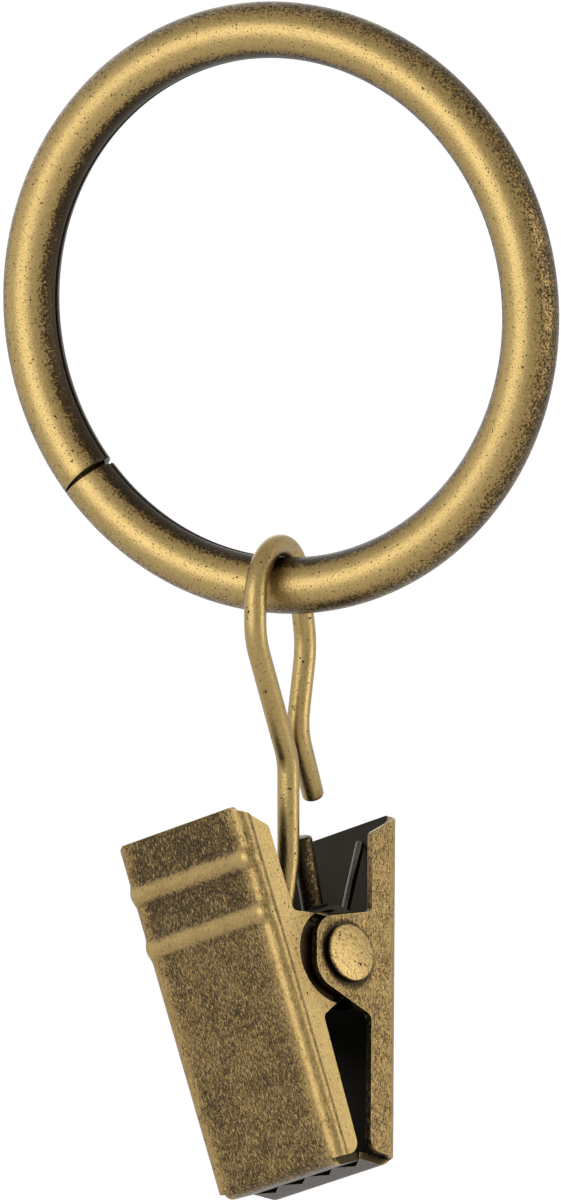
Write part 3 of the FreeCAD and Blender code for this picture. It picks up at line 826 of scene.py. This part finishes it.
clip_frame @ Vector((coil_near - spring_radius, 0, 0))
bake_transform(spring)

# Pivot pin
# A brass rivet through all four ears, its two flat heads spread over the rear jaw's ears.
# It is set tight in the rear jaw, and the front jaw and the hook's eye turn on it.
head_radius = 2.25 * MM
head_height = 0.5 * MM
head_round = 0.18 * MM
head_play = 0.02 * MM
pin_half = clip_width / 2 + head_play

pin_brass, place = new_material("pin_brass")
pin_grain = place.noise(4200.0, 3.0, 0.6)
pin_pits = place.noise(3200.0, 1.0).step(0.68, 0.77)
along_pin = abs(split(in_frame(place, clip_frame))[0])
# Painted shade: the sides of both heads are darkened.
head_side_shade = 1 - along_pin.step(pin_half + 0.6 * head_height, pin_half + head_height)
antique_brass(place, 0.62 - 0.7 * head_side_shade, pin_pits, pin_grain)

bm = bmesh.new()
profile = [
    (-pin_half - head_height, 0),
    (-pin_half - head_height, head_radius),
    (-pin_half, head_radius),
    (-pin_half, pin_radius),
    (pin_half, pin_radius),
    (pin_half, head_radius),
    (pin_half + head_height, head_radius),
    (pin_half + head_height, 0),
]
turned = [bm.verts.new((along, radius, 0)) for along, radius in profile]
edges = [bm.edges.new(pair) for pair in zip(turned, turned[1:])]
bmesh.ops.spin(bm, geom=edges, cent=(0, 0, 0), axis=(1, 0, 0), angle=2 * math.pi, steps=72, use_merge=True)
bmesh.ops.remove_doubles(bm, verts=bm.verts, dist=WELD)
bmesh.ops.recalc_face_normals(bm, faces=bm.faces)
head_rim = [
    edge
    for edge in bm.edges
    if all(abs(v.co.x) > pin_half + WELD and math.hypot(v.co.y, v.co.z) > pin_radius for v in edge.verts)
]
bmesh.ops.bevel(
    bm,
    geom=head_rim,
    offset=head_round,
    offset_type="OFFSET",
    segments=4,
    profile=0.5,
    affect="EDGES",
    material=-1,
)
bmesh.ops.transform(bm, matrix=clip_frame, verts=bm.verts)
pin = make_piece(bm, "pivot_pin_rivet", pin_brass)
pin.modifiers.new("even_shading", "WEIGHTED_NORMAL")
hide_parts("pivot_pin")
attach(pin, "rear_jaw")

# Floor, light and camera
# A white floor well below the hanging ring, in white surroundings, and four soft lamps round it.
# The camera stands at the photo's viewing angle.
floor_drop = 0.4
floor_half = 8.0


def whiten(place, lit, white):
    """White where the camera or the metal sees it, with its own light everywhere else."""
    camera_ray, glossy_ray, transmission_ray = [
        place.node("ShaderNodeLightPath", {}, {}, ray)
        for ray in ("Is Camera Ray", "Is Glossy Ray", "Is Transmission Ray")
    ]
    seen = camera_ray + glossy_ray + transmission_ray
    return place.node("ShaderNodeMixShader", {}, {0: seen, 1: lit, 2: white})


floor_paint, place = new_material("floor_paint")
matt = place.node("ShaderNodeBsdfPrincipled", {}, {"Base Color": (0.62, 0.62, 0.62, 1), "Roughness": 0.9})
glow = place.node("ShaderNodeEmission", {}, {"Color": (0.92, 0.92, 0.92, 1)})
white = place.node("ShaderNodeAddShader", {}, {0: matt, 1: glow})
place.node("ShaderNodeOutputMaterial", {}, {"Surface": whiten(place, matt, white)})
bm = bmesh.new()
bmesh.ops.create_grid(bm, x_segments=1, y_segments=1, size=floor_half)
bmesh.ops.translate(bm, verts=bm.verts, vec=(0, 0, cad_box[0].z - floor_drop))
floor = make_piece(bm, "floor", floor_paint)

view_azimuth = math.radians(26.4)
view_elevation = math.radians(6.16)
view_distance = 1.2
view_right = Vector((math.cos(view_azimuth), math.sin(view_azimuth), 0))
view_back = Vector(
    (
        math.sin(view_azimuth) * math.cos(view_elevation),
        -math.cos(view_azimuth) * math.cos(view_elevation),
        math.sin(view_elevation),
    )
)
view_up = view_back.cross(view_right)
aim_drop = 22.29 * MM
aim_aside = 0.11 * MM
aim = Vector((0, 0, -aim_drop)) + view_right * aim_aside


def facing(position, towards):
    """A placement at a position, looking at a point."""
    look = (position - towards).to_track_quat("Z", "Y").to_matrix().to_4x4()
    return Matrix.Translation(position) @ look


def add_lamp(name, right, up, back, width, height, power):
    """A soft lamp, placed from the view in metres, aimed at the object."""
    lamp = bpy.data.lights.new(name, "AREA")
    lamp.shape = "RECTANGLE"
    lamp.size = width
    lamp.size_y = height
    lamp.energy = power
    holder = bpy.data.objects.new(name, lamp)
    holder.matrix_world = facing(aim + view_right * right + view_up * up + view_back * back, aim)
    bpy.context.collection.objects.link(holder)


add_lamp("main_lamp", right=-1.02, up=0.07, back=1.1, width=1.45, height=1.05, power=13.0)
add_lamp("right_lamp", right=1.2, up=0.1, back=0.25, width=0.55, height=0.95, power=6.0)
add_lamp("left_lamp", right=-1.28, up=0.1, back=-0.23, width=0.9, height=0.8, power=1.2)
add_lamp("back_lamp", right=-0.3, up=0.55, back=-1.3, width=1.2, height=0.8, power=3.0)
world = bpy.data.worlds.new("studio")
world.use_nodes = True
world.node_tree.nodes.clear()
place = Shade(world.node_tree)
dim = place.node("ShaderNodeBackground", {}, {"Color": (0.12, 0.12, 0.125, 1)})
white = place.node("ShaderNodeBackground", {}, {"Color": (1, 1, 1, 1)})
place.node("ShaderNodeOutputWorld", {}, {"Surface": whiten(place, dim, white)})
bpy.context.scene.world = world

camera_data = bpy.data.cameras.new("camera")
camera_data.sensor_fit = "VERTICAL"
camera_data.sensor_height = 36.0
camera_data.lens = 473.3
camera_data.clip_end = 20.0
camera = bpy.data.objects.new("camera", camera_data)
camera.matrix_world = Matrix.Translation(aim + view_back * view_distance) @ Matrix(
    (
        (view_right.x, view_up.x, view_back.x, 0),
        (view_right.y, view_up.y, view_back.y, 0),
        (view_right.z, view_up.z, view_back.z, 0),
        (0, 0, 0, 1),
    )
)
bpy.context.collection.objects.link(camera)
bpy.context.scene.camera = camera
bpy.context.scene.view_settings.view_transform = "Standard"
